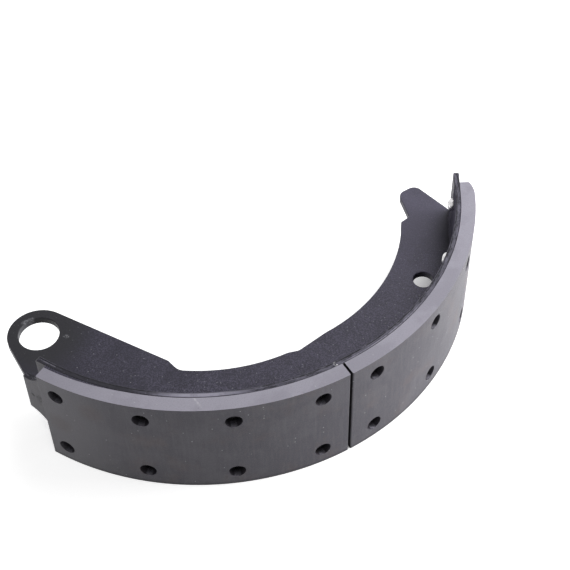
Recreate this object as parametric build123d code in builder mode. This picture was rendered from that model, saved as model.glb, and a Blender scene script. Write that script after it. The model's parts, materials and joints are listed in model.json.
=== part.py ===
"""Riveted drum brake shoe, lying on its side.

A flat web with an anchor eye is welded to a curved table. Two lining segments are riveted to
the table in two rows. The frame has its origin at the centre of the anchor eye, in the middle
plane of the web. +Z runs along the eye and +X from the eye towards the toe.
Sizes are millimetres and degrees. Angles and radii are taken about the drum's axis.
"""

import os
from math import acos, atan2, cos, degrees, hypot, isclose, radians, sin, tan

from build123d import *

# ---- drum, lining and table ----
drum_diameter = 280.0
lining_width = 60.0
lining_thickness = 7.4
lining_start_angle = 237.6
lining_middle_angle = 299.95
lining_end_angle = 361.2
lining_gap = 1.3
lining_corner_radius = 0.6
toe_taper_length = 9.0
toe_taper_drop = 2.2
toe_taper_corner_radius = 1.2
table_thickness = 3.0
table_toe_overhang = 8.2
table_straight_length = 19.0
table_heel_overhang = 6.4
table_corner_radius = 1.6
table_edge_break = 0.35
nick_angle = 298.3
nick_width = 1.2
nick_depth = 0.6

# ---- tongue at the anchor end of the table ----
tongue_length = 12.8
tongue_flat = 1.4
upper_shoulder = 10.2
lower_shoulder = 2.6
tongue_corner_radius = 0.8

# ---- web ----
web_thickness = 4.0
web_edge_break = 0.3
anchor_inset = 21.1
anchor_angle = 219.9
eye_diameter = 20.6
eye_rim = 5.6
web_heel_overhang = 2.4
lug_side_turn = 40.0
shoulder_depth = 39.3
shoulder_angle = 258.7
shoulder_radius = 3.0
heel_depth = 34.45
heel_middle_angle = 277.0
heel_start_rise = 0.2
heel_start_angle = 262.4
heel_start_radius = 7.0
heel_end_drop = 0.5
heel_end_angle = 295.6
heel_end_radius = 1.5
kink_rise = 0.95
kink_angle = 298.9
kink_radius = 5.0
belly_depth = 35.0
belly_angle = 309.5
belly_radius = 9.0
waist_depth = 29.9
waist_angle = 336.2
spring_hole_diameter = 10.4
spring_hole_inset = 11.1
spring_hole_angle = 340.5

# ---- toe of the web: depths run inwards from the table, reaches run past the table's end ----
lip_depth = 26.0
lip_setback = 6.3
lip_radius = 0.7
notch_depth = 21.05
notch_setback = 2.75
notch_radius = 1.6
tip_inner_depth = 23.9
tip_inner_reach = 15.5
tip_inner_radius = 5.0
tip_outer_depth = 13.75
tip_outer_reach = 20.9
tip_outer_radius = 4.6

# ---- reliefs in the web's welded edge ----
end_relief_angle = 229.4
end_relief_depth = 2.8
end_relief_radius = 3.9
heel_relief_angle = 256.9
heel_relief_depth = 3.0
heel_relief_radius = 7.5

# ---- rivets ----
rivet_rows = 4
rivet_row_angle = 17.48
rivet_outer_angle = 3.85
rivet_line_margin = 10.0
rivet_shank_diameter = 4.8
rivet_head_diameter = 8.0
rivet_head_height = 1.2
rivet_head_dome = 0.3
rivet_hole_clearance = 0.1
head_clearance = 0.15
lining_under_head = 2.2
clinch_diameter = 6.6
clinch_height = 2.6
clinch_land = 0.5
clinch_seat_clearance = 0.05
clinch_mouth_diameter = 2.8
rivet_bore_diameter = 1.9
rivet_bore_depth = 4.2

# ---- sizes that follow ----
drum_radius = drum_diameter / 2
table_outer_radius = drum_radius - lining_thickness
table_inner_radius = table_outer_radius - table_thickness
table_middle_radius = (table_outer_radius + table_inner_radius) / 2
half_width = lining_width / 2
half_web = web_thickness / 2
eye_radius = eye_diameter / 2
lug_radius = eye_radius + eye_rim
shank_radius = rivet_shank_diameter / 2
rivet_hole_radius = shank_radius + rivet_hole_clearance
counterbore_radius = rivet_head_diameter / 2 + head_clearance
counterbore_depth = lining_thickness - lining_under_head


def arc_angle(length, radius):
    """The angle that an arc of this length spans."""
    return degrees(length / radius)


shoulder_end_angle = lining_start_angle - arc_angle(table_heel_overhang, table_middle_radius)
tongue_end_angle = shoulder_end_angle - arc_angle(tongue_length, table_middle_radius)
table_toe_angle = lining_end_angle + arc_angle(table_toe_overhang, table_middle_radius)
straight_angle = table_toe_angle - arc_angle(table_straight_length, table_middle_radius)
web_start_angle = tongue_end_angle - arc_angle(web_heel_overhang, table_middle_radius)
half_gap_angle = arc_angle(lining_gap, drum_radius) / 2


def polar(radius, angle):
    """A point at this radius and angle about the drum's axis."""
    return (radius * cos(radians(angle)), radius * sin(radians(angle)))


def past_arc(radius, length):
    """The point this far along the straight that follows the arc of this radius at the toe."""
    x, y = polar(radius, straight_angle)
    return (x - length * sin(radians(straight_angle)), y + length * cos(radians(straight_angle)))


def toe_point(depth, reach):
    """A point of the toe, this far inside the table and this far past the table's end."""
    radial = table_inner_radius - depth
    x = radial * cos(radians(table_toe_angle)) - reach * sin(radians(table_toe_angle))
    y = radial * sin(radians(table_toe_angle)) + reach * cos(radians(table_toe_angle))
    return (x, y)


def tangent_point(centre, radius, outside, side):
    """Where a line from a point outside a circle touches the circle, on side +1 or -1."""
    dx = outside[0] - centre[0]
    dy = outside[1] - centre[1]
    angle = atan2(dy, dx) + side * acos(radius / hypot(dx, dy))
    return (centre[0] + radius * cos(angle), centre[1] + radius * sin(angle))


eye_centre = polar(table_inner_radius - anchor_inset, anchor_angle)
drum_centre = (-eye_centre[0], -eye_centre[1])


def level(height):
    """The plane across the drum's axis at this height above the web's middle plane."""
    return Plane(origin=(drum_centre[0], drum_centre[1], height))


def facing_out(radius, angle, height):
    """A plane that faces away from the drum's axis, with its x along the arc and y up."""
    x, y = polar(radius, angle)
    return Plane(
        origin=(drum_centre[0] + x, drum_centre[1] + y, height),
        x_dir=(-sin(radians(angle)), cos(radians(angle)), 0),
        z_dir=(cos(radians(angle)), sin(radians(angle)), 0),
    )


def arc_between(radius, start, end):
    """An arc about the drum's axis."""
    return ThreePointArc(polar(radius, start), polar(radius, (start + end) / 2), polar(radius, end))


# Rivet rows: the toe segment's pattern mirrors the anchor segment's about the gap.
anchor_rows = [lining_start_angle + rivet_outer_angle + row * rivet_row_angle for row in range(rivet_rows)]
toe_rows = [2 * lining_middle_angle - angle for angle in reversed(anchor_rows)]
rivet_lines = {"upper": half_width - rivet_line_margin, "lower": rivet_line_margin - half_width}

os.makedirs("parts", exist_ok=True)

# ---- web: flat plate with the anchor eye at one end and the toe at the other ----
outer_start = polar(table_inner_radius, web_start_angle)
outer_bend = polar(table_inner_radius, straight_angle)
outer_end = past_arc(table_inner_radius, table_straight_length)
tip_outer = toe_point(tip_outer_depth, tip_outer_reach)
tip_inner = toe_point(tip_inner_depth, tip_inner_reach)
notch = toe_point(notch_depth, -notch_setback)
lip = toe_point(lip_depth, -lip_setback)
waist = polar(table_inner_radius - waist_depth, waist_angle)
belly = polar(table_inner_radius - belly_depth, belly_angle)
heel_radius = table_inner_radius - heel_depth
kink = polar(heel_radius + kink_rise, kink_angle)
heel_end = polar(heel_radius - heel_end_drop, heel_end_angle)
heel_middle = polar(heel_radius, heel_middle_angle)
heel_start = polar(heel_radius + heel_start_rise, heel_start_angle)
shoulder = polar(table_inner_radius - shoulder_depth, shoulder_angle)
lug_inner = tangent_point(eye_centre, lug_radius, shoulder, 1)
lug_outer = tangent_point(eye_centre, lug_radius, outer_start, -1)
lug_dx, lug_dy = polar(lug_radius, anchor_angle - lug_side_turn)
lug_side = (eye_centre[0] + lug_dx, eye_centre[1] + lug_dy)
web_corners = [
    (tip_outer, tip_outer_radius),
    (tip_inner, tip_inner_radius),
    (notch, notch_radius),
    (lip, lip_radius),
    (belly, belly_radius),
    (kink, kink_radius),
    (heel_end, heel_end_radius),
    (heel_start, heel_start_radius),
    (shoulder, shoulder_radius),
]
reliefs = [
    (end_relief_angle, end_relief_depth, end_relief_radius),
    (heel_relief_angle, heel_relief_depth, heel_relief_radius),
]

with BuildPart() as web:
    with BuildSketch(level(-half_web)) as outline:
        with BuildLine():
            arc_between(table_inner_radius, web_start_angle, straight_angle)
            Polyline(outer_bend, outer_end, tip_outer, tip_inner, notch, lip)
            ThreePointArc(lip, waist, belly)
            Polyline(belly, kink, heel_end)
            ThreePointArc(heel_end, heel_middle, heel_start)
            Polyline(heel_start, shoulder, lug_inner)
            ThreePointArc(lug_inner, lug_side, lug_outer)
            Line(lug_outer, outer_start)
        make_face()
        for corner, radius in web_corners:
            fillet(outline.vertices().sort_by_distance(Vertex(*corner, 0))[0], radius)
    extrude(amount=web_thickness)
    with BuildSketch(level(-half_web)):
        with Locations(eye_centre):
            Circle(eye_radius)
        with Locations(polar(table_inner_radius - spring_hole_inset, spring_hole_angle)):
            Circle(spring_hole_diameter / 2)
        for angle, depth, radius in reliefs:
            with Locations(polar(table_inner_radius - depth + radius, angle)):
                Circle(radius)
    extrude(amount=web_thickness, mode=Mode.SUBTRACT)
    chamfer(web.faces().filter_by(Axis.Z).edges(), web_edge_break)
web.part.label = "web"
export_step(web.part, "parts/web.step")

# ---- table: curved strip, scooped to a tongue at the anchor end, straight at the toe, drilled ----
strip_past = table_thickness + tongue_length
scoop_radius = tongue_length - tongue_flat
tongue_top = half_width - upper_shoulder - scoop_radius
tongue_bottom = lower_shoulder + scoop_radius - half_width
table_ends = [
    (polar(table_outer_radius, straight_angle), past_arc(table_outer_radius, table_straight_length)),
    (outer_end, outer_bend),
]
with BuildPart() as table:
    with BuildSketch(level(-half_width)):
        with BuildLine():
            arc_between(table_outer_radius, tongue_end_angle, straight_angle)
            Polyline(*table_ends[0], *table_ends[1])
            arc_between(table_inner_radius, straight_angle, tongue_end_angle)
            Line(polar(table_inner_radius, tongue_end_angle), polar(table_outer_radius, tongue_end_angle))
        make_face()
    extrude(amount=lining_width)
    with BuildSketch(facing_out(table_middle_radius, shoulder_end_angle, 0)):
        for side, tongue_side in ((1, tongue_top), (-1, tongue_bottom)):
            tip = (-scoop_radius, tongue_side)
            top = (0, tongue_side + side * scoop_radius)
            bow = scoop_radius * sin(radians(45))
            scoop_middle = (bow - scoop_radius, top[1] - side * bow)
            edge = side * (half_width + table_thickness)
            with BuildLine():
                ThreePointArc(tip, scoop_middle, top)
                Polyline(top, (0, edge), (-strip_past, edge), (-strip_past, tongue_side), tip)
            make_face()
    extrude(amount=strip_past, both=True, mode=Mode.SUBTRACT)
    shoulder_end = polar(table_middle_radius, shoulder_end_angle)
    toe_end = past_arc(table_middle_radius, table_straight_length)
    tongue_end = polar(table_middle_radius, tongue_end_angle)
    corners = [
        (shoulder_end, half_width, table_corner_radius),
        (shoulder_end, -half_width, table_corner_radius),
        (toe_end, half_width, table_corner_radius),
        (toe_end, -half_width, table_corner_radius),
        (tongue_end, tongue_top, tongue_corner_radius),
        (tongue_end, tongue_bottom, tongue_corner_radius),
    ]
    for (x, y), height, radius in corners:
        corner = Vertex(drum_centre[0] + x, drum_centre[1] + y, height)
        fillet(table.edges().sort_by_distance(corner)[0], radius)
    rims = table.faces().filter_by(Axis.Z, reverse=True).sort_by(SortBy.AREA)[-4:]
    bend_lines = rims.edges().filter_by(lambda edge: isclose(edge.length, lining_width, rel_tol=1e-6))
    chamfer([edge for edge in rims.edges() if edge not in bend_lines], table_edge_break)
    for angle in anchor_rows + toe_rows:
        for height in rivet_lines.values():
            with BuildSketch(facing_out(table_middle_radius, angle, height)):
                Circle(rivet_hole_radius)
    extrude(amount=table_thickness, both=True, mode=Mode.SUBTRACT)
    with BuildSketch(facing_out(table_middle_radius, nick_angle, half_width)):
        Polygon((-nick_width / 2, 0), (nick_width / 2, 0), (0, -nick_depth), align=None)
    extrude(amount=table_thickness, both=True, mode=Mode.SUBTRACT)
table.part.label = "table"
export_step(table.part, "parts/table.step")

# ---- linings: two segments with counterbored holes, parted by a gap, the toe end rounded off ----
toe_taper_angle = lining_end_angle - arc_angle(toe_taper_length, drum_radius)
toe_taper_start = polar(drum_radius, toe_taper_angle)
toe_taper_tangent = (-toe_taper_start[1], toe_taper_start[0])
lining_straight_length = table_outer_radius * tan(radians(lining_end_angle - straight_angle))
drill_depth = 2 * lining_thickness
segments = {
    "lining_anchor_end": (lining_start_angle, lining_middle_angle - half_gap_angle, anchor_rows),
    "lining_toe_end": (lining_middle_angle + half_gap_angle, lining_end_angle, toe_rows),
}
for name, (start, end, rows) in segments.items():
    tapered = end == lining_end_angle
    full_end = toe_taper_angle if tapered else end
    end_radius = drum_radius - toe_taper_drop if tapered else drum_radius
    with BuildPart() as lining:
        with BuildSketch(level(-half_width)) as profile:
            with BuildLine():
                arc_between(drum_radius, start, full_end)
                if tapered:
                    TangentArc(toe_taper_start, polar(end_radius, end), tangent=toe_taper_tangent)
                    straight_end = past_arc(table_outer_radius, lining_straight_length)
                    Polyline(polar(end_radius, end), straight_end, polar(table_outer_radius, straight_angle))
                else:
                    Line(polar(end_radius, end), polar(table_outer_radius, end))
                arc_between(table_outer_radius, straight_angle if tapered else end, start)
                Line(polar(table_outer_radius, start), polar(drum_radius, start))
            make_face()
            end_corner = Vertex(*polar(end_radius, end), 0)
            end_corner_radius = toe_taper_corner_radius if tapered else lining_corner_radius
            fillet(profile.vertices().sort_by_distance(end_corner)[0], end_corner_radius)
            start_corner = Vertex(*polar(drum_radius, start), 0)
            fillet(profile.vertices().sort_by_distance(start_corner)[0], lining_corner_radius)
        extrude(amount=lining_width)
        for angle in rows:
            for height in rivet_lines.values():
                with Locations(facing_out(drum_radius, angle, height)):
                    CounterBoreHole(rivet_hole_radius, counterbore_radius, counterbore_depth, drill_depth)
    lining.part.label = name
    export_step(lining.part, f"parts/{name}.step")

# ---- rivets: head in the counterbore, hollow end rolled over on the inside of the table ----
head_seat = table_outer_radius + lining_under_head
clinch_seat = table_inner_radius - clinch_seat_clearance
clinch_bend = clinch_seat - clinch_land
clinch_end = clinch_seat - clinch_height
head_radius = rivet_head_diameter / 2
clinch_radius = clinch_diameter / 2
mouth_radius = clinch_mouth_diameter / 2
bore_radius = rivet_bore_diameter / 2
bore_end = clinch_end + rivet_bore_depth
head_rim = head_seat + rivet_head_height
numbered_rows = dict(enumerate(anchor_rows + toe_rows, start=1))
for row, angle in numbered_rows.items():
    for line, height in rivet_lines.items():
        seat = facing_out(0, angle, height)
        section = Plane(origin=seat.origin, x_dir=(0, 0, 1), z_dir=seat.x_dir)
        with BuildPart() as rivet:
            with BuildSketch(section):
                with BuildLine():
                    Line((0, bore_end), (0, head_rim + rivet_head_dome))
                    TangentArc((0, head_rim + rivet_head_dome), (head_radius, head_rim), tangent=(1, 0))
                    Polyline(
                        (head_radius, head_rim),
                        (head_radius, head_seat),
                        (shank_radius, head_seat),
                        (shank_radius, clinch_seat),
                        (clinch_radius, clinch_seat),
                        (clinch_radius, clinch_bend),
                    )
                    TangentArc((clinch_radius, clinch_bend), (mouth_radius, clinch_end), tangent=(0, -1))
                    Polyline(
                        (mouth_radius, clinch_end),
                        (bore_radius, clinch_end + mouth_radius - bore_radius),
                        (bore_radius, bore_end - bore_radius / 2),
                        (0, bore_end),
                    )
                make_face()
            revolve(axis=Axis(seat.origin, seat.z_dir), revolution_arc=360)
        rivet.part.label = f"rivet_row{row}_{line}"
        export_step(rivet.part, f"parts/rivet_row{row}_{line}.step")
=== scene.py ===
"""Riveted drum brake shoe: finishes for its steel and linings, seam welds, stage and camera.

Lengths are metres in the part's own frame: the anchor eye's centre is the origin, and the drum's
axis runs along Z through the drum centre.
"""

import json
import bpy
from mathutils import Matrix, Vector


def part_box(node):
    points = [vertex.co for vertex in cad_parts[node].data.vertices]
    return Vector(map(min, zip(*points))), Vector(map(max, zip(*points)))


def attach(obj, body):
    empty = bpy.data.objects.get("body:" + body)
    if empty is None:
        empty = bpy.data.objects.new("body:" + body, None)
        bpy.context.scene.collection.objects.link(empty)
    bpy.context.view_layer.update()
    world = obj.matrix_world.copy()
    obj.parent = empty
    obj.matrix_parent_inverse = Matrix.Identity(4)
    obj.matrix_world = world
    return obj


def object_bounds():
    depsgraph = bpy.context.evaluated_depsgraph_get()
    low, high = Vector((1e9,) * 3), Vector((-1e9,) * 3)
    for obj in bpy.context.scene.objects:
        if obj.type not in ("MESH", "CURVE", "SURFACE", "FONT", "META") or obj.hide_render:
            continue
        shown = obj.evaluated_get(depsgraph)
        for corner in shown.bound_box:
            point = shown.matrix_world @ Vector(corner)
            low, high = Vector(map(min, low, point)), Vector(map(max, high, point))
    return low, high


bl_info = {
    "name": "Brake Shoe Finishes",
    "version": (1, 0, 0),
    "blender": (4, 5, 0),
    "location": "3D View > Sidebar > Brake Shoe",
    "description": "Paints, grinds, plates and stages a riveted drum brake shoe",
    "category": "Object",
}

from math import cos, hypot, pi, radians, sin

import bpy
from mathutils import Matrix, Vector

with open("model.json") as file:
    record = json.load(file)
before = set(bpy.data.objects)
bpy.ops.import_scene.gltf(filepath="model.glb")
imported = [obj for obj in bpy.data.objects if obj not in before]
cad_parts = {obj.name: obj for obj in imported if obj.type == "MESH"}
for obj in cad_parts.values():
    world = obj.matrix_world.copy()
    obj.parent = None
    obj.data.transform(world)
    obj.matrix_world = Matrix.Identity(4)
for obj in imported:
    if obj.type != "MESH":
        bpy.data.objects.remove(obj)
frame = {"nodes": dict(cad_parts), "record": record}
cad_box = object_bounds()

MM = 0.001
drum_centre = Vector(next(m["pos_m"] for m in frame["record"]["mounts"] if m["name"] == "drum_face"))
lining_nodes = ("lining_anchor_end", "lining_toe_end")
rivet_nodes = sorted(name for name in frame["nodes"] if name.startswith("rivet_"))


def flat_distance(point):
    """How far a point lies from the drum's axis."""
    return hypot(point[0] - drum_centre.x, point[1] - drum_centre.y)


drum_radius = max(flat_distance(v.co) for v in frame["nodes"]["lining_toe_end"].data.vertices)
table_outer_radius = min(flat_distance(v.co) for v in frame["nodes"]["lining_anchor_end"].data.vertices)
table_inner_radius = min(flat_distance(v.co) for v in frame["nodes"]["table"].data.vertices)
web_half_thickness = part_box("web")[1].z


# ---- places on the shoe ----
def mark(x, y, radius, z=None, stretch=1.0, degrees=0.0, solid=0.0):
    """One rubbed or stained spot, in millimetres. Without a z it marks the full height there."""
    return {
        "x": x * MM,
        "y": y * MM,
        "z": (z or 0.0) * MM,
        "tall": 0.0 if z is None else 1.0,
        "radius": radius * MM,
        "stretch": stretch,
        "angle": radians(degrees),
        "solid": solid,
    }


eye_scuffs = (
    mark(-7.9, 7.8, 1.6, stretch=1.7, degrees=-37, solid=0.3),
    mark(-5.3, 9.4, 1.4, stretch=2.0, degrees=-25, solid=0.3),
    mark(14.0, -2.1, 1.5, stretch=1.5),
)
nick_strokes = (
    mark(145.2, -45.1, 0.6, stretch=2.7, degrees=77, solid=0.9),
    mark(146.2, -46.3, 0.55, stretch=1.7, degrees=-21, solid=0.9),
)
tongue_stains = (
    mark(0.2, -33.8, 1.7, z=-3.3, solid=1.0),
    mark(4.1, -36.8, 4.2, z=-3.5, solid=0.35),
)
face_burns = (
    mark(15.5, -52.9, 9.0, z=-1.0, solid=0.6),
    mark(32.9, -61.0, 9.0, z=17.0, solid=0.6),
)
side_scratch = mark(82.9, -65.6, 0.7, stretch=7.5, degrees=56, solid=0.2)

# Spans over which an effect comes in, from its start to where it is full: lengths in the
# part's frame, and distances from the anchor eye's centre.
even_grain_span = (5 * MM, 70 * MM)
eye_shade_span = (32 * MM, 15 * MM)
eye_bore_span = (10.8 * MM, 10.4 * MM)
bore_side_span = (6 * MM, 9 * MM)
flank_low_span = (-4 * MM, -9 * MM)
flank_left_span = (0.0, -3 * MM)

# The same for distances from the drum's axis, and for angles about it.
back_span = (table_outer_radius - 0.3 * MM, table_outer_radius - 0.05 * MM)
inner_face_span = (table_inner_radius + 0.4 * MM, table_inner_radius + 0.2 * MM)
ground_face_span = (drum_radius - 0.5 * MM, drum_radius - 0.1 * MM)
sunk_head_span = (table_outer_radius, table_outer_radius + 1 * MM)
mottle_thins_span = (radians(-96), radians(-106))
heel_line_span = (radians(-117), radians(-120.5))
heel_rim_span = (radians(-119), radians(-122))
joint_line_span = (radians(-64), radians(-52))
# Painted light: the lining's face is painted paler over this span at the anchor end.
lit_face_span = (radians(-103), radians(-118))
overspray_span = (radians(-102), radians(-122))
toe_line_middle, toe_line_reach = radians(-48), radians(14)

# Depths of the lines along the table's edge: the first two from its inner face, the others
# from its outer face.
# The first line is painted shade along the table's inner edge.
inner_shade_line_depth = 0.75 * MM
heel_line_depth = 1.4 * MM
toe_line_depth = 0.6 * MM
joint_line_depth = 0.1 * MM
strip_depth, strip_half_width = 1.45 * MM, 1.25 * MM


# ---- settings ----
def colour_property(name, description, default):
    """A colour setting."""
    return bpy.props.FloatVectorProperty(
        name=name, description=description, default=default, subtype="COLOR", size=3, min=0, max=1
    )


def length_property(name, description, default):
    """A length setting."""
    return bpy.props.FloatProperty(
        name=name, description=description, default=default, unit="LENGTH", precision=5, min=0
    )


def share_property(name, description, default):
    """A setting from 0 to 1."""
    return bpy.props.FloatProperty(
        name=name, description=description, default=default, subtype="FACTOR", min=0, max=1
    )


def angle_property(name, description, degrees):
    """An angle setting, given in degrees."""
    return bpy.props.FloatProperty(
        name=name, description=description, default=radians(degrees), subtype="ANGLE"
    )


def power_property(name, description, default):
    """A lamp's power."""
    return bpy.props.FloatProperty(name=name, description=description, default=default, unit="POWER", min=0)


class PaintSettings(bpy.types.PropertyGroup):
    """The black primer on the web and the table."""

    colour: colour_property("Primer", "Colour of the primer", (0.028, 0.0262, 0.038))
    light_colour: colour_property("Light Grain", "Colour of the primer's light grain", (0.104, 0.097, 0.14))
    # This colour paints shade in corners and along the table's inner edge; it also draws the dark cut rims,
    # the joint line and the stains.
    dark_colour: colour_property("Hollow", "Colour in corners and along cut rims", (0.009, 0.009, 0.013))
    # Painted shade: the web is painted darker by the anchor eye, where less light falls.
    eye_shade_colour: colour_property("Eye Lug", "Colour of the thin primer by the eye", (0.026, 0.026, 0.029))
    worn_colour: colour_property("Worn Edge", "Colour where the primer is rubbed", (0.16, 0.155, 0.18))
    # Besides dust specks and scuffs, this colour paints light on the lug's lower-left edge.
    dust_and_lit_edge_colour: colour_property("Dust", "Colour of dust specks", (0.36, 0.36, 0.39))
    grain_size: length_property("Grain Size", "Size of the primer's grain", 0.75 * MM)
    roughness: share_property("Roughness", "Roughness of the primer", 0.5)
    shine: share_property("Shine", "Specular level of the primer", 0.19)


class ShearedEdgeSettings(bpy.types.PropertyGroup):
    """The sheared edges of the table."""

    dark_colour: colour_property("Dark Mottle", "Colour of the deep mottle", (0.02, 0.019, 0.026))
    light_colour: colour_property("Light Mottle", "Colour of the raised mottle", (0.135, 0.129, 0.168))
    bright_colour: colour_property("Rubbed", "Colour of the rubbed strip and rims", (0.36, 0.347, 0.425))
    bare_colour: colour_property("Bare Back", "Colour of the table's outer face", (0.205, 0.198, 0.214))
    mottle_size: length_property("Mottle Size", "Size of the mottle", 1.1 * MM)
    strip_angle: angle_property("Strip Angle", "Where the rubbed strip lies about the drum's axis", -89.7)
    strip_length: length_property("Strip Length", "Length of the rubbed strip", 56 * MM)
    chip_colour: colour_property("Chip", "Colour of bare bright chips", (0.72, 0.71, 0.75))
    # The dark line is painted shade along the table's inner edge.
    rim_width: length_property("Rim Width", "Width of the rubbed rims and the dark line", 0.42 * MM)


class LiningSettings(bpy.types.PropertyGroup):
    """The friction linings."""

    face_colour: colour_property("Ground Face", "Colour of the ground outer face", (0.067, 0.063, 0.08))
    pale_colour: colour_property("Pale Patch", "Colour of the face's pale patches", (0.157, 0.151, 0.171))
    rust_colour: colour_property("Warm Patch", "Colour of the face's warm patches", (0.108, 0.084, 0.088))
    side_colour: colour_property("Sawn Side", "Colour of the sawn sides", (0.387, 0.372, 0.438))
    side_dark_colour: colour_property("Sawn Grain", "Colour of the sides' grain", (0.235, 0.226, 0.27))
    # Painted shade inside the counterbores; the same colour draws the dark scores.
    hole_shade_and_score_colour: colour_property("Hole Wall", "Colour inside the counterbores", (0.011, 0.01, 0.013))
    speck_colour: colour_property("Specks", "Colour of the bright filings", (0.6, 0.59, 0.62))
    roughness: share_property("Roughness", "Roughness of the ground face", 0.45)
    shine: share_property("Shine", "Specular level of the ground face", 0.26)
    streak_width: length_property("Grinding Mark", "Width of one grinding mark", 1.6 * MM)
    overspray: length_property("Overspray", "Width of the primer on the sides at the anchor end", 1.25 * MM)


class RivetSettings(bpy.types.PropertyGroup):
    """The semi-tubular rivets."""

    colour: colour_property("Steel", "Colour of the plated steel", (0.82, 0.81, 0.82))
    # Besides real stains, this colour paints shade in the rivet's hollows; the sunk head colour is painted
    # shade.
    stain_and_shade_colour: colour_property("Stain", "Colour of stains in the hollows", (0.12, 0.115, 0.11))
    sunk_shade_colour: colour_property("Sunk Head", "Colour of the heads, deep in the lining", (0.02, 0.02, 0.022))
    roughness: share_property("Roughness", "Roughness of the plating", 0.3)


class SeamSettings(bpy.types.PropertyGroup):
    """The weld that runs along both sides of the web."""

    leg: length_property("Leg", "Length of the weld's leg along each plate", 1.1 * MM)
    ripple: share_property("Ripple", "Share of the leg by which the weld ripples", 0.14)
    ripple_pitch: length_property("Ripple Pitch", "Distance from one ripple to the next", 2.2 * MM)


class StageSettings(bpy.types.PropertyGroup):
    """Floor, world, lamps and camera."""

    floor_colour: colour_property("Floor", "Colour of the floor", (0.8, 0.8, 0.8))
    floor_glow: share_property("Floor Glow", "How much whiter the open floor looks than it lights", 0.78)
    # Painted shade: the floor's glow is dimmed where the shoe covers it.
    covered_shade_glow: share_property("Hidden Glow", "The same for the floor that the shoe covers", 0.08)
    world_dim: share_property("World at Heel", "Strength of the world's light on the anchor side", 0.15)
    world_bright: share_property("World at Toe", "Strength of the world's light on the toe's side", 0.38)
    top_lamp: power_property("Top Lamp", "Power of the lamp above", 5.6)
    side_lamp: power_property("Side Lamp", "Power of the lamp at the toe's side", 10.0)
    camera_place: bpy.props.FloatVectorProperty(
        name="Camera",
        description="Where the camera stands",
        default=(0.12221, -0.40615, 0.49044),
        unit="LENGTH",
    )
    camera_pitch: angle_property("Pitch", "How far the camera looks down", 47.4345)
    camera_turn: angle_property("Turn", "How far the camera turns left of straight ahead", 0.1228)
    camera_roll: angle_property("Roll", "How far the camera leans", 1.502)
    lens: bpy.props.FloatProperty(name="Lens", description="Focal length", default=80.192, unit="CAMERA")
    shift: bpy.props.FloatVectorProperty(
        name="Shift", description="Shift of the frame across and up", default=(0.00909, -0.03477), size=2
    )


class BrakeShoeSettings(bpy.types.PropertyGroup):
    """All settings of the brake shoe."""

    paint: bpy.props.PointerProperty(type=PaintSettings)
    sheared_edge: bpy.props.PointerProperty(type=ShearedEdgeSettings)
    lining: bpy.props.PointerProperty(type=LiningSettings)
    rivet: bpy.props.PointerProperty(type=RivetSettings)
    seam: bpy.props.PointerProperty(type=SeamSettings)
    stage: bpy.props.PointerProperty(type=StageSettings)


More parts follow.
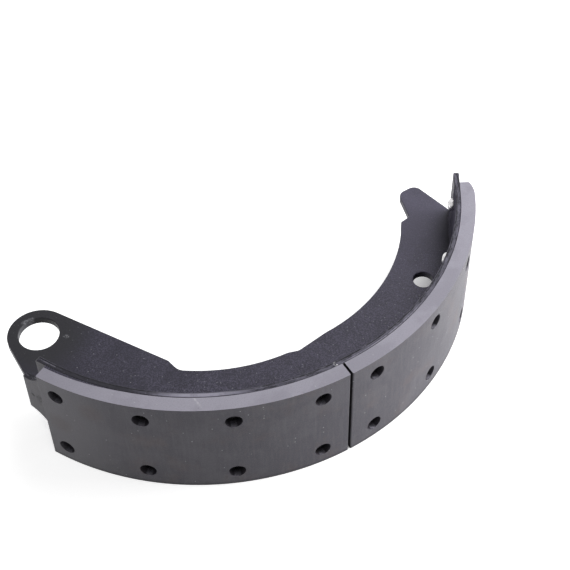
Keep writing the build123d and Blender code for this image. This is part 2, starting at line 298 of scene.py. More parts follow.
# ---- node trees ----
class NodeTree:
    """Adds nodes to one node tree and links their inputs."""

    def __init__(self, tree):
        self.tree = tree

    def add(self, kind, inputs=None, **settings):
        """Adds a node, sets its settings, and sets or links its inputs by name or number."""
        node = self.tree.nodes.new(kind)
        for key, value in settings.items():
            setattr(node, key, value)
        for key, value in (inputs or {}).items():
            self.feed(node.inputs[key], value)
        return node

    def feed(self, socket, value):
        """Links an output to a socket, or sets the socket's own value."""
        if isinstance(value, bpy.types.NodeSocket):
            self.tree.links.new(value, socket)
        else:
            socket.default_value = value

    def math(self, operation, *values, clamp=False):
        """The result of a math node."""
        node = self.add("ShaderNodeMath", dict(enumerate(values)), operation=operation, use_clamp=clamp)
        return node.outputs[0]

    def vector(self, operation, *values, output=0):
        """The result of a vector math node."""
        return self.add("ShaderNodeVectorMath", dict(enumerate(values)), operation=operation).outputs[output]

    def times(self, *factors):
        """The product of these factors."""
        product = factors[0]
        for factor in factors[1:]:
            product = self.math("MULTIPLY", product, factor)
        return product

    def mix(self, factor, low, high):
        """One colour mixed into another."""
        node = self.add("ShaderNodeMix", data_type="RGBA")
        self.feed(node.inputs["Factor"], factor)
        self.feed(node.inputs["A"], opaque(low))
        self.feed(node.inputs["B"], opaque(high))
        return node.outputs["Result"]

    def ramp(self, value, start, end, low=0.0, high=1.0, smooth=True):
        """A value taken from start..end to low..high."""
        node = self.add(
            "ShaderNodeMapRange",
            {"Value": value, "From Min": start, "From Max": end, "To Min": low, "To Max": high},
            interpolation_type="SMOOTHSTEP" if smooth else "LINEAR",
        )
        return node.outputs["Result"]

    def band(self, value, middle, half_width):
        """1 where a value is near the middle, 0 past half the band's width."""
        off = self.math("ABSOLUTE", self.math("SUBTRACT", value, middle))
        return self.ramp(off, half_width, half_width / 2)

    def noise(self, vector, size, detail, roughness):
        """Noise from 0 to 1, with waves of about this size."""
        scale = self.math("DIVIDE", 1.0, size)
        inputs = {"Vector": vector, "Scale": scale, "Detail": detail, "Roughness": roughness}
        return self.add("ShaderNodeTexNoise", inputs).outputs["Fac"]

    def place(self):
        """The point of the object that is shaded."""
        return self.add("ShaderNodeTexCoord").outputs["Object"]

    def upright(self):
        """How far the surface faces up or down, from 0 to 1."""
        normal = self.add("ShaderNodeNewGeometry").outputs["Normal"]
        return self.math("ABSOLUTE", self.add("ShaderNodeSeparateXYZ", {0: normal}).outputs["Z"])

    def effect(self, name, **inputs):
        """The outputs of a shared effect, with its inputs named in lower case."""
        node = self.add("ShaderNodeGroup", node_tree=effect_tree(name))
        for key, value in inputs.items():
            self.feed(node.inputs[key.replace("_", " ").title()], value)
        return node.outputs

    def mask(self, name, **inputs):
        """The mask of a shared effect."""
        return self.effect(name, **inputs)["Mask"]

    def unrolled(self, place):
        """The place unrolled from the drum (along the arc, up, outwards), its angle and its radius."""
        from_axis = self.vector("SUBTRACT", place, drum_centre)
        parts = self.add("ShaderNodeSeparateXYZ", {0: from_axis}).outputs
        angle = self.math("ARCTAN2", parts["Y"], parts["X"])
        flat = self.add("ShaderNodeCombineXYZ", {"X": parts["X"], "Y": parts["Y"]}).outputs[0]
        radius = self.vector("LENGTH", flat, output="Value")
        along = self.math("MULTIPLY", angle, drum_radius)
        sockets = {"X": along, "Y": parts["Z"], "Z": radius}
        return self.add("ShaderNodeCombineXYZ", sockets).outputs[0], angle, radius


def opaque(colour):
    """A colour setting as a socket's four numbers."""
    return colour if isinstance(colour, bpy.types.NodeSocket) else (*colour, 1)


def effect_group(name, inputs, outputs):
    """An empty shader node group with these float inputs and outputs."""
    tree = bpy.data.node_groups.new(name, "ShaderNodeTree")
    for socket, default in inputs.items():
        made = tree.interface.new_socket(socket, in_out="INPUT", socket_type="NodeSocketFloat")
        made.default_value = default
    for socket in outputs:
        tree.interface.new_socket(socket, in_out="OUTPUT", socket_type="NodeSocketFloat")
    nodes = NodeTree(tree)
    return nodes, nodes.add("NodeGroupInput").outputs, nodes.add("NodeGroupOutput").inputs


def marks_group():
    """Specks and short straight scratches: the cells of a stretched Voronoi pattern."""
    settings = {"Angle": 0.0, "Length": 2 * MM, "Spacing": 2 * MM, "Width": 0.3 * MM, "Share": 0.3}
    nodes, given, result = effect_group("Marks", settings, ["Mask"])
    turned = nodes.add("ShaderNodeVectorRotate", {"Vector": nodes.place(), "Angle": given["Angle"]})
    turned.rotation_type = "Z_AXIS"
    across = nodes.math("DIVIDE", 1.0, given["Spacing"])
    scale = nodes.add(
        "ShaderNodeCombineXYZ", {"X": nodes.math("DIVIDE", 1.0, given["Length"]), "Y": across, "Z": across}
    )
    stretched = nodes.vector("MULTIPLY", turned.outputs[0], scale.outputs[0])
    cells = nodes.add("ShaderNodeTexVoronoi", {"Vector": stretched, "Scale": 1.0})
    reach = nodes.times(given["Width"], across)
    near = nodes.math("SUBTRACT", 1.0, nodes.math("DIVIDE", cells.outputs["Distance"], reach), clamp=True)
    draw = nodes.add("ShaderNodeSeparateColor", {0: cells.outputs["Color"]}).outputs[0]
    kept = nodes.math("LESS_THAN", draw, given["Share"])
    nodes.feed(result["Mask"], nodes.times(nodes.ramp(near, 0.0, 0.5), kept))
    return nodes.tree


def grain_group():
    """The fine grain of a coat, and the slow patches in it."""
    settings = {"Grain Size": 1 * MM, "Patch Size": 20 * MM}
    nodes, given, result = effect_group("Grain", settings, ["Grain", "Patches"])
    place = nodes.place()
    fine = nodes.noise(place, given["Grain Size"], detail=3.0, roughness=0.8)
    nodes.feed(result["Grain"], nodes.ramp(fine, 0.47, 0.6))
    slow = nodes.noise(place, given["Patch Size"], detail=4.0, roughness=0.6)
    nodes.feed(result["Patches"], nodes.ramp(slow, 0.34, 0.66))
    return nodes.tree


def edge_group():
    """Where a surface bends over an edge, broken up in patches."""
    settings = {"Width": 0.5 * MM, "Patch Size": 6 * MM, "Cover": 0.5}
    nodes, given, result = effect_group("Edge", settings, ["Mask"])
    rounded = nodes.add("ShaderNodeBevel", {"Radius": given["Width"]}, samples=6).outputs[0]
    normal = nodes.add("ShaderNodeNewGeometry").outputs["Normal"]
    bend = nodes.math("SUBTRACT", 1.0, nodes.vector("DOT_PRODUCT", rounded, normal, output="Value"))
    patches = nodes.noise(nodes.place(), given["Patch Size"], detail=5.0, roughness=0.7)
    least = nodes.math("SUBTRACT", 0.75, nodes.times(given["Cover"], 0.5))
    kept = nodes.ramp(patches, least, nodes.math("ADD", least, 0.12))
    nodes.feed(result["Mask"], nodes.times(nodes.ramp(bend, 0.02, 0.2), kept))
    return nodes.tree


def hollow_group():
    """Where little light gets in: corners, gaps and holes."""
    nodes, given, result = effect_group("Hollow", {"Reach": 5 * MM}, ["Mask"])
    reach = {"Distance": given["Reach"]}
    open_sky = nodes.add("ShaderNodeAmbientOcclusion", reach, samples=8).outputs["AO"]
    nodes.feed(result["Mask"], nodes.math("SUBTRACT", 1.0, open_sky, clamp=True))
    return nodes.tree


def scuff_group():
    """One rubbed spot about a place, ragged at its rim."""
    settings = {
        "X": 0.0,
        "Y": 0.0,
        "Z": 0.0,
        "Tall": 0.0,
        "Radius": 2 * MM,
        "Stretch": 1.0,
        "Angle": 0.0,
        "Solid": 0.0,
    }
    nodes, given, result = effect_group("Scuff", settings, ["Mask"])
    place = nodes.place()
    spot = nodes.add("ShaderNodeCombineXYZ", {axis: given[axis] for axis in "XYZ"}).outputs[0]
    kept_axes = nodes.add("ShaderNodeCombineXYZ", {"X": 1.0, "Y": 1.0, "Z": given["Tall"]}).outputs[0]
    offset = nodes.vector("MULTIPLY", nodes.vector("SUBTRACT", place, spot), kept_axes)
    off = nodes.add("ShaderNodeVectorRotate", {"Vector": offset, "Angle": given["Angle"]})
    off.rotation_type = "Z_AXIS"
    along = nodes.math("DIVIDE", 1.0, given["Stretch"])
    squeeze = nodes.add("ShaderNodeCombineXYZ", {"X": along, "Y": 1.0, "Z": 1.0})
    squeezed = nodes.vector("MULTIPLY", off.outputs[0], squeeze.outputs[0])
    distance = nodes.vector("LENGTH", squeezed, output="Value")
    near = nodes.math("SUBTRACT", 1.0, nodes.math("DIVIDE", distance, given["Radius"]), clamp=True)
    ragged = nodes.noise(place, 0.8 * MM, detail=4.0, roughness=0.75)
    broken = nodes.math("MAXIMUM", nodes.ramp(ragged, 0.45, 0.62), given["Solid"])
    nodes.feed(result["Mask"], nodes.times(nodes.ramp(near, 0.0, 0.7), broken))
    return nodes.tree


EFFECTS = {
    "marks": marks_group,
    "grain": grain_group,
    "edge": edge_group,
    "hollow": hollow_group,
    "scuff": scuff_group,
}


def effect_tree(name):
    """A shared effect, made the first time that it is asked for."""
    label = name.title()
    return bpy.data.node_groups.get(label) or EFFECTS[name]()


def new_material(name, viewport_colour):
    """An empty material with a Principled BSDF, and its node tree."""
    material = bpy.data.materials.new(name)
    material.use_nodes = True
    material.diffuse_color = (*viewport_colour, 1)
    nodes = NodeTree(material.node_tree)
    shader = material.node_tree.nodes["Principled BSDF"]
    return material, nodes, shader


def dress(nodes, material):
    """Puts a material in every slot of these CAD nodes."""
    for name in nodes:
        for slot in frame["nodes"][name].material_slots:
            slot.material = material


# ---- finishes ----
# Scratches in the primer: direction, length and the share of cells that hold one.
primer_scratches = ((0.5, 9 * MM, 0.2), (-0.9, 6 * MM, 0.2), (1.7, 12 * MM, 0.12))


def primer_layers(nodes, paint):
    """The primer's colour, roughness and height, with grain, dust and scratches, and painted light that
    makes it lighter towards the toe.
    """
    grain = nodes.effect("grain", grain_size=paint.grain_size, patch_size=22 * MM)
    parts = nodes.add("ShaderNodeSeparateXYZ", {0: nodes.place()}).outputs
    # Painted light: the primer is painted lighter and more speckled towards the toe, standing in for the
    # light that falls more on the toe's side.
    toeward = nodes.ramp(parts["X"], cad_box[0].x, cad_box[1].x * 0.8, 0.15, 1.0, smooth=False)
    uneven = nodes.ramp(parts["Y"], *even_grain_span, 1.0, 0.3)
    patches_and_toe_light = nodes.times(toeward, nodes.ramp(grain["Patches"], 0.0, 1.0, 0.7, 1.15))
    colour = nodes.mix(nodes.times(patches_and_toe_light, 0.3), paint.colour, paint.light_colour)
    even_grain = nodes.times(nodes.math("SUBTRACT", 1.0, uneven), 0.45)
    speckled = nodes.math("ADD", nodes.times(grain["Grain"], uneven), even_grain)
    thickness = nodes.ramp(patches_and_toe_light, 0.0, 1.0, 0.04, 1.45)
    speckle = nodes.math("MULTIPLY", speckled, thickness, clamp=True)
    colour = nodes.mix(speckle, colour, paint.light_colour)
    dust = nodes.mask("marks", length=1.9 * MM, spacing=1.7 * MM, width=0.36 * MM, share=0.3)
    dust = nodes.times(dust, uneven)
    colour = nodes.mix(nodes.times(dust, 0.5), colour, paint.dust_and_lit_edge_colour)
    for angle, length, share in primer_scratches:
        scratch = nodes.mask(
            "marks", angle=angle, length=length, spacing=2.4 * MM, width=0.2 * MM, share=share
        )
        colour = nodes.mix(nodes.times(scratch, 0.3), colour, paint.worn_colour)
    roughness = nodes.ramp(grain["Grain"], 0.0, 1.0, paint.roughness - 0.06, paint.roughness + 0.12)
    height = nodes.math("ADD", grain["Grain"], nodes.times(dust, 1.5))
    return colour, roughness, height


def lay_finish(nodes, shader, colour, roughness, height, depth):
    """Feeds a finish to its shader, with a height from 0 to 1 as a bump of this depth."""
    relief = nodes.add("ShaderNodeBump", {"Height": height, "Distance": depth, "Strength": 0.5})
    nodes.feed(shader.inputs["Base Color"], colour)
    nodes.feed(shader.inputs["Roughness"], roughness)
    nodes.feed(shader.inputs["Normal"], relief.outputs["Normal"])


def web_finish(settings):
    """Primer on the web, dark along its cut rim, with scuffs by the anchor eye, painted shade by the eye and
    in its corners, and a painted lit edge on the lug's lower left.
    """
    paint = settings.paint
    material, nodes, shader = new_material("web_primer", paint.colour)
    colour, roughness, height = primer_layers(nodes, paint)
    rim = nodes.mask("edge", width=0.6 * MM, patch_size=20 * MM, cover=1.0)
    colour = nodes.mix(nodes.times(rim, 0.6), colour, paint.dark_colour)
    worn = nodes.mask("edge", width=0.4 * MM, patch_size=7 * MM, cover=0.35)
    colour = nodes.mix(nodes.times(worn, 0.7), colour, paint.worn_colour)
    place = nodes.place()
    parts = nodes.add("ShaderNodeSeparateXYZ", {0: place}).outputs
    from_eye = nodes.vector("LENGTH", nodes.vector("MULTIPLY", place, (1, 1, 0)), output="Value")
    steep = nodes.math("SUBTRACT", 1.0, nodes.upright())
    # Painted shade: darker towards the anchor eye.
    colour = nodes.mix(nodes.ramp(from_eye, *eye_shade_span, 0.0, 0.8), colour, paint.eye_shade_colour)
    for scuff in eye_scuffs:
        colour = nodes.mix(nodes.times(nodes.mask("scuff", **scuff), 0.7), colour, paint.dust_and_lit_edge_colour)
    # Painted light: the lug's steep lower-left edge is painted lighter where light falls on it; the rubbed
    # walls of the eye's bore are wear.
    lit_flank = nodes.times(nodes.ramp(parts["Y"], *flank_low_span), nodes.ramp(parts["X"], *flank_left_span))
    sides = nodes.ramp(nodes.math("ABSOLUTE", parts["X"]), *bore_side_span)
    bore = nodes.times(nodes.ramp(from_eye, *eye_bore_span), sides, 0.25)
    rubbed = nodes.times(nodes.math("MAXIMUM", lit_flank, bore), steep)
    colour = nodes.mix(rubbed, colour, paint.dust_and_lit_edge_colour)
    # Painted shade: the web is painted darker where little light gets in, widest beside the table's wall at
    # the toe.
    hollow = nodes.mask("hollow", reach=18 * MM)
    colour = nodes.mix(nodes.ramp(hollow, 0.18, 0.62, 0.0, 0.9), colour, paint.dark_colour)
    lay_finish(nodes, shader, colour, roughness, height, 0.05 * MM)
    shader.inputs["Specular IOR Level"].default_value = paint.shine
    return material


def edge_lines(nodes, settings, spot, mottle, broken, colour):
    """Draws the lines that run along the table's edge: a painted shade line by its inner face, rubbed lines
    and a dark joint line.
    """
    paint, sheared = settings.paint, settings.sheared_edge
    _, angle, radius = spot
    # Painted shade: a dark line beside the table's inner edge, standing in for the shade that the edge
    # throws.
    inner_shade_line = nodes.band(radius, table_inner_radius + inner_shade_line_depth, sheared.rim_width)
    colour = nodes.mix(nodes.times(inner_shade_line, broken), colour, paint.dark_colour)
    heel_line = nodes.band(radius, table_inner_radius + heel_line_depth, sheared.rim_width)
    heel_line = nodes.times(heel_line, nodes.ramp(angle, *heel_line_span))
    heel_line = nodes.times(heel_line, nodes.ramp(mottle, 0.4, 0.6), 0.55)
    toe_line = nodes.band(radius, table_outer_radius - toe_line_depth, sheared.rim_width)
    toe_line = nodes.times(toe_line, nodes.band(angle, toe_line_middle, toe_line_reach))
    rubbed = nodes.times(nodes.math("MAXIMUM", heel_line, toe_line), broken, 0.75)
    colour = nodes.mix(rubbed, colour, sheared.bright_colour)
    joint_line = nodes.band(radius, table_outer_radius - joint_line_depth, sheared.rim_width)
    joint_line = nodes.times(joint_line, nodes.ramp(angle, *joint_line_span), broken)
    return nodes.mix(joint_line, colour, paint.dark_colour)


def edge_colour(nodes, settings, spot, mottle):
    """The table's sheared edge: mottle, flecks, lines, a rubbed strip and the chipped nick."""
    sheared = settings.sheared_edge
    unrolled, angle, radius = spot
    toeward = nodes.ramp(angle, *mottle_thins_span, 1.0, 0.1)
    raised = nodes.times(nodes.ramp(mottle, 0.36, 0.62), toeward)
    colour = nodes.mix(raised, sheared.dark_colour, sheared.light_colour)
    flecks = nodes.mask("marks", length=1.6 * MM, spacing=1.6 * MM, width=0.3 * MM, share=0.3)
    colour = nodes.mix(nodes.times(flecks, 0.4), colour, sheared.bright_colour)

    ragged = nodes.noise(unrolled, 5 * MM, detail=5.0, roughness=0.7)
    broken = nodes.ramp(ragged, 0.38, 0.56, 0.15, 1.0)
    colour = edge_lines(nodes, settings, spot, mottle, broken, colour)

    from_strip = nodes.math("ABSOLUTE", nodes.math("SUBTRACT", angle, sheared.strip_angle))
    half_strip = sheared.strip_length / drum_radius / 2
    fading = nodes.ramp(from_strip, half_strip, half_strip * 0.2)
    cover = nodes.times(fading, nodes.ramp(ragged, 0.3, 0.5, 0.6, 1.0))
    within = nodes.band(radius, table_outer_radius - strip_depth, strip_half_width)
    colour = nodes.mix(nodes.times(cover, within, 0.9), colour, sheared.bright_colour)
    for stroke in nick_strokes:
        chipped = nodes.ramp(nodes.mask("scuff", **stroke), 0.05, 0.5)
        colour = nodes.mix(chipped, colour, sheared.chip_colour)
    return colour


def back_colour(nodes, settings, mottle):
    """The table's bare outer face, stained on the tongue."""
    paint, sheared = settings.paint, settings.sheared_edge
    colour = nodes.mix(nodes.ramp(mottle, 0.3, 0.7, 0.0, 0.35), sheared.bare_colour, sheared.light_colour)
    for stain in tongue_stains:
        colour = nodes.mix(nodes.times(nodes.mask("scuff", **stain), 0.9), colour, paint.dark_colour)
    return colour


def table_finish(settings):
    """Primer on the table, with a mottled sheared edge, a bare outer face, and painted shade in its corners.
    """
    paint, sheared = settings.paint, settings.sheared_edge
    material, nodes, shader = new_material("table_primer", paint.colour)
    colour, roughness, height = primer_layers(nodes, paint)
    spot = nodes.unrolled(nodes.place())
    unrolled, angle, radius = spot
    stretched = nodes.vector("MULTIPLY", unrolled, (0.2, 1.0, 1.0))
    mottle = nodes.noise(stretched, sheared.mottle_size, detail=5.0, roughness=0.75)

    on_back = nodes.ramp(radius, *back_span)
    colour = nodes.mix(on_back, colour, back_colour(nodes, settings, mottle))
    on_edge = nodes.ramp(nodes.upright(), 0.5, 0.85)
    colour = nodes.mix(on_edge, colour, edge_colour(nodes, settings, spot, mottle))
    worn = nodes.mask("edge", width=0.5 * MM, patch_size=6 * MM, cover=0.6)
    worn = nodes.times(worn, nodes.ramp(angle, *heel_rim_span), 0.6)
    colour = nodes.mix(worn, colour, sheared.bright_colour)
    # Painted shade: the table is painted darker where little light gets in.
    hollow = nodes.mask("hollow", reach=7 * MM)
    colour = nodes.mix(nodes.ramp(hollow, 0.3, 0.8, 0.0, 0.85), colour, paint.dark_colour)

    height = nodes.math("ADD", height, nodes.times(mottle, on_edge, 5.0))
    roughness = nodes.math("ADD", roughness, nodes.times(on_edge, 0.08))
    roughness = nodes.math("MAXIMUM", roughness, nodes.times(nodes.ramp(radius, *inner_face_span), 0.95))
    lay_finish(nodes, shader, colour, roughness, height, 0.06 * MM)
    shader.inputs["Specular IOR Level"].default_value = paint.shine
    return material


def ground_face(nodes, lining, angle, blotch, streak, grain):
    """The lining's ground face: warm and pale patches, grinding marks, burns, and painted light that makes
    the anchor end paler.
    """
    colour = nodes.mix(nodes.ramp(blotch, 0.5, 0.72, 0.0, 0.55), lining.face_colour, lining.rust_colour)
    colour = nodes.mix(nodes.ramp(grain["Patches"], 0.35, 1.0, 0.0, 0.22), colour, lining.pale_colour)
    # Painted light: paler towards the anchor end, standing in for the light on that end.
    colour = nodes.mix(nodes.ramp(angle, *lit_face_span), colour, lining.pale_colour)
    colour = nodes.mix(nodes.ramp(streak, 0.42, 0.7, 0.0, 0.22), colour, lining.pale_colour)
    for burn in face_burns:
        colour = nodes.mix(nodes.times(nodes.mask("scuff", **burn), 0.6), colour, lining.rust_colour)
    return nodes.mix(nodes.times(grain["Grain"], 0.12), colour, lining.pale_colour)


def sawn_side(nodes, settings, angle, radius, grain):
    """The lining's sawn sides, oversprayed with primer at the anchor end."""
    lining, paint = settings.lining, settings.paint
    colour = nodes.mix(nodes.times(grain["Grain"], 0.35), lining.side_colour, lining.side_dark_colour)
    colour = nodes.mix(nodes.ramp(grain["Patches"], 0.3, 1.0, 0.0, 0.35), colour, lining.side_dark_colour)
    heelward = nodes.ramp(angle, *overspray_span)
    colour = nodes.mix(nodes.times(heelward, 0.4), colour, lining.side_dark_colour)
    line = nodes.math("ADD", nodes.times(heelward, lining.overspray), table_outer_radius)
    inside = nodes.ramp(nodes.math("SUBTRACT", radius, line), 0.1 * MM, -0.1 * MM)
    sprayed = nodes.ramp(nodes.times(inside, heelward), 0.0, 0.12)
    primer = nodes.mix(grain["Grain"], paint.colour, paint.light_colour)
    colour = nodes.mix(sprayed, colour, primer)
    return nodes.mix(nodes.mask("scuff", **side_scratch), colour, lining.speck_colour)


def lining_finish(settings):
    """Ground friction lining with paler sawn sides, counterbores painted black as shade, and edges partly
    painted as highlights.
    """
    lining = settings.lining
    material, nodes, shader = new_material("friction_lining", lining.face_colour)
    unrolled, angle, radius = nodes.unrolled(nodes.place())
    grain = nodes.effect("grain", grain_size=0.6 * MM, patch_size=24 * MM)
    streaks = nodes.vector("MULTIPLY", unrolled, (1.0, 0.1, 0.5))
    streak = nodes.noise(streaks, lining.streak_width, detail=5.0, roughness=0.7)
    blotch = nodes.noise(unrolled, 16 * MM, detail=4.0, roughness=0.6)

    upright = nodes.upright()
    off_face = nodes.math("SUBTRACT", 1.0, nodes.ramp(radius, *ground_face_span))
    side = nodes.times(nodes.ramp(upright, 0.9, 0.97), off_face)
    side = nodes.math("MAXIMUM", side, nodes.ramp(upright, 0.985, 0.995))
    face = ground_face(nodes, lining, angle, blotch, streak, grain)
    colour = nodes.mix(side, face, sawn_side(nodes, settings, angle, radius, grain))

    specks = nodes.mask("marks", length=3.4 * MM, spacing=3.4 * MM, width=0.4 * MM, share=0.3)
    colour = nodes.mix(nodes.times(specks, 0.5), colour, lining.speck_colour)
    scores = nodes.mask(
        "marks", angle=1.1, length=4.5 * MM, spacing=2.9 * MM, width=0.3 * MM, share=0.16
    )
    colour = nodes.mix(nodes.times(scores, 0.4), colour, lining.hole_shade_and_score_colour)
    # Partly painted highlight: a light line along the edges, mixed with real chips and wear.
    worn = nodes.mask("edge", width=0.35 * MM, patch_size=4 * MM, cover=0.7)
    colour = nodes.mix(nodes.times(worn, 0.3), colour, lining.side_colour)
    # Painted shade: the counterbores are painted nearly black where little light gets in.
    sunk = nodes.ramp(nodes.mask("hollow", reach=7 * MM), 0.28, 0.65)
    colour = nodes.mix(sunk, colour, lining.hole_shade_and_score_colour)

    roughness = nodes.ramp(side, 0.0, 1.0, lining.roughness, 0.75)
    roughness = nodes.math("MAXIMUM", roughness, nodes.times(sunk, 0.95))
    height = nodes.math("ADD", grain["Grain"], streak)
    height = nodes.math("SUBTRACT", height, nodes.times(scores, 2.0))
    lay_finish(nodes, shader, colour, roughness, height, 0.05 * MM)
    shader.inputs["Specular IOR Level"].default_value = lining.shine
    return material


def rivet_finish(settings):
    """Plated steel, painted black as shade where it is sunk in the lining, and painted darker in its
    hollows.
    """
    rivet = settings.rivet
    material, nodes, shader = new_material("plated_rivet", rivet.colour)
    grain = nodes.effect("grain", grain_size=0.5 * MM, patch_size=3 * MM)
    colour = nodes.mix(nodes.ramp(grain["Patches"], 0.0, 1.0, 0.0, 0.3), rivet.colour, rivet.stain_and_shade_colour)
    _, _, radius = nodes.unrolled(nodes.place())
    # Painted shade: the heads deep in the lining are painted nearly black, and the rivet's hollows darker,
    # where little light gets in.
    sunk = nodes.ramp(radius, *sunk_head_span)
    hollow = nodes.mask("hollow", reach=2.5 * MM)
    colour = nodes.mix(nodes.ramp(hollow, 0.35, 0.8), colour, rivet.stain_and_shade_colour)
    colour = nodes.mix(nodes.times(sunk, 0.9), colour, rivet.sunk_shade_colour)
    roughness = nodes.ramp(grain["Grain"], 0.0, 1.0, rivet.roughness - 0.06, rivet.roughness + 0.12)
    lay_finish(nodes, shader, colour, roughness, grain["Grain"], 0.02 * MM)
    shader.inputs["Metallic"].default_value = 1.0
    return material


# ---- seam welds ----
# Angles about the drum's axis: the weld's two stretches, one step along it, and where the
# table turns straight.
seam_stretches = ((radians(238.0), radians(252.8)), (radians(261.0), radians(364.0)))
seam_step = radians(0.35)
straight_start = radians(356.48)

# How far the weld sinks into both plates, its hollow as a share of the leg, how many ripples one
# slow ripple spans, and over how many steps each end tapers to what share of the leg.
seam_sink = 0.15 * MM
seam_hollow = 0.38
slow_ripple_pitches = 5.3
tapered_steps, tapered_share = 6, 0.25


def seam_leg(seam, along, from_end):
    """The weld's leg at a place along it: rippled, and smaller in the last steps to its ends."""
    ripple = 1 + seam.ripple * sin(2 * pi * along / seam.ripple_pitch)
    slow_pitch = slow_ripple_pitches * seam.ripple_pitch
    ripple += 0.5 * seam.ripple * sin(2 * pi * along / slow_pitch)
    fullness = min(1.0, from_end / tapered_steps)
    return seam.leg * ripple * (tapered_share + (1 - tapered_share) * fullness)


def seam_profile(leg):
    """The corners of the weld's section, inwards from the table and up from the web."""
    hollow = seam_hollow * leg
    return (
        (-seam_sink, -seam_sink),
        (-seam_sink, leg),
        (0.0, leg),
        (hollow, hollow),
        (leg, 0.0),
        (leg, -seam_sink),
    )


def seam_mesh(name, side, seam):
    """A concave weld along the corner of web and table, on one side of the web."""
    vertices, faces = [], []
    ring = len(seam_profile(seam.leg))
    for start, end in seam_stretches:
        count = round((end - start) / seam_step)
        first = len(vertices)
        for step in range(count + 1):
            angle = start + (end - start) * step / count
            along = angle * table_inner_radius
            leg = seam_leg(seam, along, min(step, count - step))
            for inwards, up in seam_profile(leg):
                radius = (table_inner_radius - inwards) / cos(max(0.0, angle - straight_start))
                height = side * (web_half_thickness + up)
                vertices.append(
                    (drum_centre.x + radius * cos(angle), drum_centre.y + radius * sin(angle), height)
                )
        for step in range(count):
            here = first + step * ring
            for corner in range(ring):
                turn = (corner + 1) % ring
                quad = (here + corner, here + turn, here + ring + turn, here + ring + corner)
                faces.append(quad if side < 0 else quad[::-1])
        last = first + count * ring
        caps = (tuple(range(first, first + ring)), tuple(range(last, last + ring)))
        faces.append(caps[0] if side > 0 else caps[0][::-1])
        faces.append(caps[1][::-1] if side > 0 else caps[1])
    mesh = bpy.data.meshes.new(name)
    mesh.from_pydata(vertices, [], faces)
    mesh.shade_smooth()
    return mesh


def make_seam(name, side, seam, material):
    """One seam weld, riding on the shoe."""
    weld = bpy.data.objects.new(name, seam_mesh(name, side, seam))
    weld.data.materials.append(material)
    bpy.context.scene.collection.objects.link(weld)
    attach(weld, "root")


# ---- stage ----
# Half the floor's width, its gap to the shoe, the reach of the painted shade on it, and the soft lamps'
# places from the shoe's middle and their widths.
floor_reach, floor_gap = 6.0, 0.1 * MM
shade_reach = 0.08
top_lamp_offset, top_lamp_size = Vector((0.4, 0.35, 0.7)), 0.7
side_lamp_offset, side_lamp_size = Vector((0.95, 0.05, 0.14)), 0.5


def seen_ray(nodes):
    """1 for the rays that see the background: camera, glossy and transmission rays."""
    path = nodes.add("ShaderNodeLightPath").outputs
    seen = nodes.math("MAXIMUM", path["Is Camera Ray"], path["Is Glossy Ray"])
    return nodes.math("MAXIMUM", seen, path["Is Transmission Ray"])


def make_floor(stage):
    """A wide pale floor that keeps the shoe's shadow, with painted shade where the shoe covers it: its glow
    dims with ambient occlusion.
    """
    height = cad_box[0].z - floor_gap
    signs = ((-1, -1), (1, -1), (1, 1), (-1, 1))
    mesh = bpy.data.meshes.new("floor")
    mesh.from_pydata([(x * floor_reach, y * floor_reach, height) for x, y in signs], [], [(0, 1, 2, 3)])
    floor = bpy.data.objects.new("floor", mesh)
    material = bpy.data.materials.new("studio_floor")
    material.use_nodes = True
    material.node_tree.nodes.clear()
    nodes = NodeTree(material.node_tree)
    matt = nodes.add("ShaderNodeBsdfDiffuse", {"Color": opaque(stage.floor_colour)}).outputs[0]
    open_sky = nodes.add("ShaderNodeAmbientOcclusion", {"Distance": shade_reach}, samples=8).outputs["AO"]
    # Painted shade: the glow is dimmed where the shoe hides the floor from the sky.
    glow = nodes.ramp(open_sky, 0.15, 0.5, stage.covered_shade_glow, stage.floor_glow)
    glow = nodes.times(seen_ray(nodes), glow)
    lit = nodes.add("ShaderNodeEmission", {"Color": (1, 1, 1, 1), "Strength": glow}).outputs[0]
    both = nodes.add("ShaderNodeAddShader", {0: matt, 1: lit}).outputs[0]
    nodes.add("ShaderNodeOutputMaterial", {"Surface": both})
    mesh.materials.append(material)
    bpy.context.scene.collection.objects.link(floor)


def make_world(stage):
    """A white world that lights softly, and more from the toe's side."""
    world = bpy.data.worlds.new("studio")
    world.use_nodes = True
    nodes = NodeTree(world.node_tree)
    direction = nodes.add("ShaderNodeTexCoord").outputs["Generated"]
    toeward = nodes.add("ShaderNodeSeparateXYZ", {0: direction}).outputs["X"]
    light = nodes.ramp(toeward, -0.8, 0.8, stage.world_dim, stage.world_bright)
    levels = {"Factor": seen_ray(nodes), "A": light, "B": 1.0}
    strength = nodes.add("ShaderNodeMix", levels, data_type="FLOAT")
    background = world.node_tree.nodes["Background"]
    background.inputs["Color"].default_value = (1, 1, 1, 1)
    nodes.feed(background.inputs["Strength"], strength.outputs["Result"])
    bpy.context.scene.world = world


def make_lamp(name, place, target, size, power):
    """A square soft lamp that faces a target."""
    data = bpy.data.lights.new(name, "AREA")
    data.shape = "SQUARE"
    data.size = size
    data.energy = power
    lamp = bpy.data.objects.new(name, data)
    lamp.location = place
    lamp.rotation_euler = (target - place).to_track_quat("-Z", "Y").to_euler()
    bpy.context.scene.collection.objects.link(lamp)


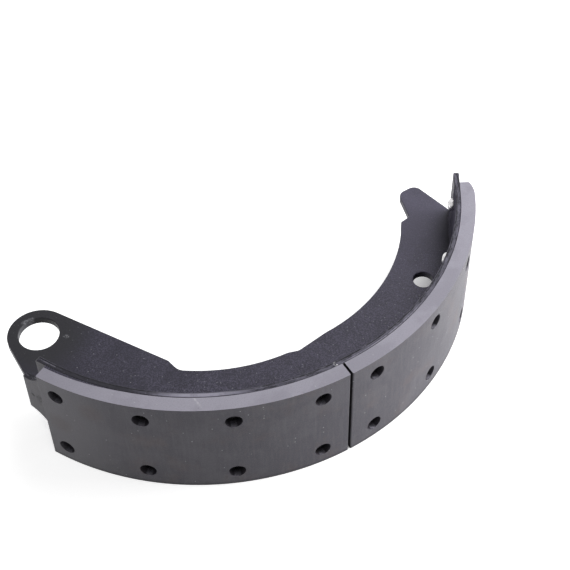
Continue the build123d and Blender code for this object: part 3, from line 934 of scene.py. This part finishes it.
def make_camera(stage):
    """A camera that looks down on the shoe from its lining's side."""
    data = bpy.data.cameras.new("camera")
    data.sensor_width = 36
    data.lens = stage.lens
    data.shift_x, data.shift_y = stage.shift
    data.clip_start, data.clip_end = 0.01, 50
    camera = bpy.data.objects.new("camera", data)
    turn = Matrix.Rotation(stage.camera_turn, 4, "Z")
    tilt = Matrix.Rotation(pi / 2 - stage.camera_pitch, 4, "X")
    lean = Matrix.Rotation(-stage.camera_roll, 4, "Z")
    camera.matrix_world = Matrix.Translation(stage.camera_place) @ turn @ tilt @ lean
    bpy.context.scene.collection.objects.link(camera)
    bpy.context.scene.camera = camera


# ---- operators ----
class SHOE_OT_paint_steel(bpy.types.Operator):
    """Paint the web and the table, and lay the seam welds between them"""

    bl_idname = "shoe.paint_steel"
    bl_label = "Paint Steel"

    def execute(self, context):
        settings = context.scene.brake_shoe
        web = web_finish(settings)
        dress(["web"], web)
        dress(["table"], table_finish(settings))
        make_seam("seam_weld_upper", 1, settings.seam, web)
        make_seam("seam_weld_lower", -1, settings.seam, web)
        return {"FINISHED"}


class SHOE_OT_finish_linings(bpy.types.Operator):
    """Give both linings their ground face, sawn sides and counterbores painted black as shade"""

    bl_idname = "shoe.finish_linings"
    bl_label = "Finish Linings"

    def execute(self, context):
        dress(lining_nodes, lining_finish(context.scene.brake_shoe))
        return {"FINISHED"}


class SHOE_OT_plate_rivets(bpy.types.Operator):
    """Plate the rivets"""

    bl_idname = "shoe.plate_rivets"
    bl_label = "Plate Rivets"

    def execute(self, context):
        dress(rivet_nodes, rivet_finish(context.scene.brake_shoe))
        return {"FINISHED"}


class SHOE_OT_set_stage(bpy.types.Operator):
    """Set up the floor, the world, the lamps and the camera"""

    bl_idname = "shoe.set_stage"
    bl_label = "Set Stage"

    def execute(self, context):
        stage = context.scene.brake_shoe.stage
        make_floor(stage)
        make_world(stage)
        middle = (cad_box[0] + cad_box[1]) / 2
        make_lamp("top_lamp", middle + top_lamp_offset, middle, top_lamp_size, stage.top_lamp)
        make_lamp("side_lamp", middle + side_lamp_offset, middle, side_lamp_size, stage.side_lamp)
        make_camera(stage)
        context.scene.view_settings.view_transform = "Standard"
        return {"FINISHED"}


class SHOE_PT_brake_shoe(bpy.types.Panel):
    """Lists the steps that finish the brake shoe"""

    bl_idname = "SHOE_PT_brake_shoe"
    bl_label = "Brake Shoe"
    bl_space_type = "VIEW_3D"
    bl_region_type = "UI"
    bl_category = "Brake Shoe"

    def draw(self, context):
        for operator in operators:
            self.layout.operator(operator.bl_idname)


operators = (SHOE_OT_paint_steel, SHOE_OT_finish_linings, SHOE_OT_plate_rivets, SHOE_OT_set_stage)
classes = (
    PaintSettings,
    ShearedEdgeSettings,
    LiningSettings,
    RivetSettings,
    SeamSettings,
    StageSettings,
    BrakeShoeSettings,
    *operators,
    SHOE_PT_brake_shoe,
)


def register():
    for cls in classes:
        bpy.utils.register_class(cls)
    bpy.types.Scene.brake_shoe = bpy.props.PointerProperty(type=BrakeShoeSettings)


def unregister():
    del bpy.types.Scene.brake_shoe
    for cls in reversed(classes):
        bpy.utils.unregister_class(cls)


def main():
    """Registers the add-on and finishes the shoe."""
    register()
    bpy.ops.shoe.paint_steel()
    bpy.ops.shoe.finish_linings()
    bpy.ops.shoe.plate_rivets()
    bpy.ops.shoe.set_stage()


if __name__ == "__main__":
    main()
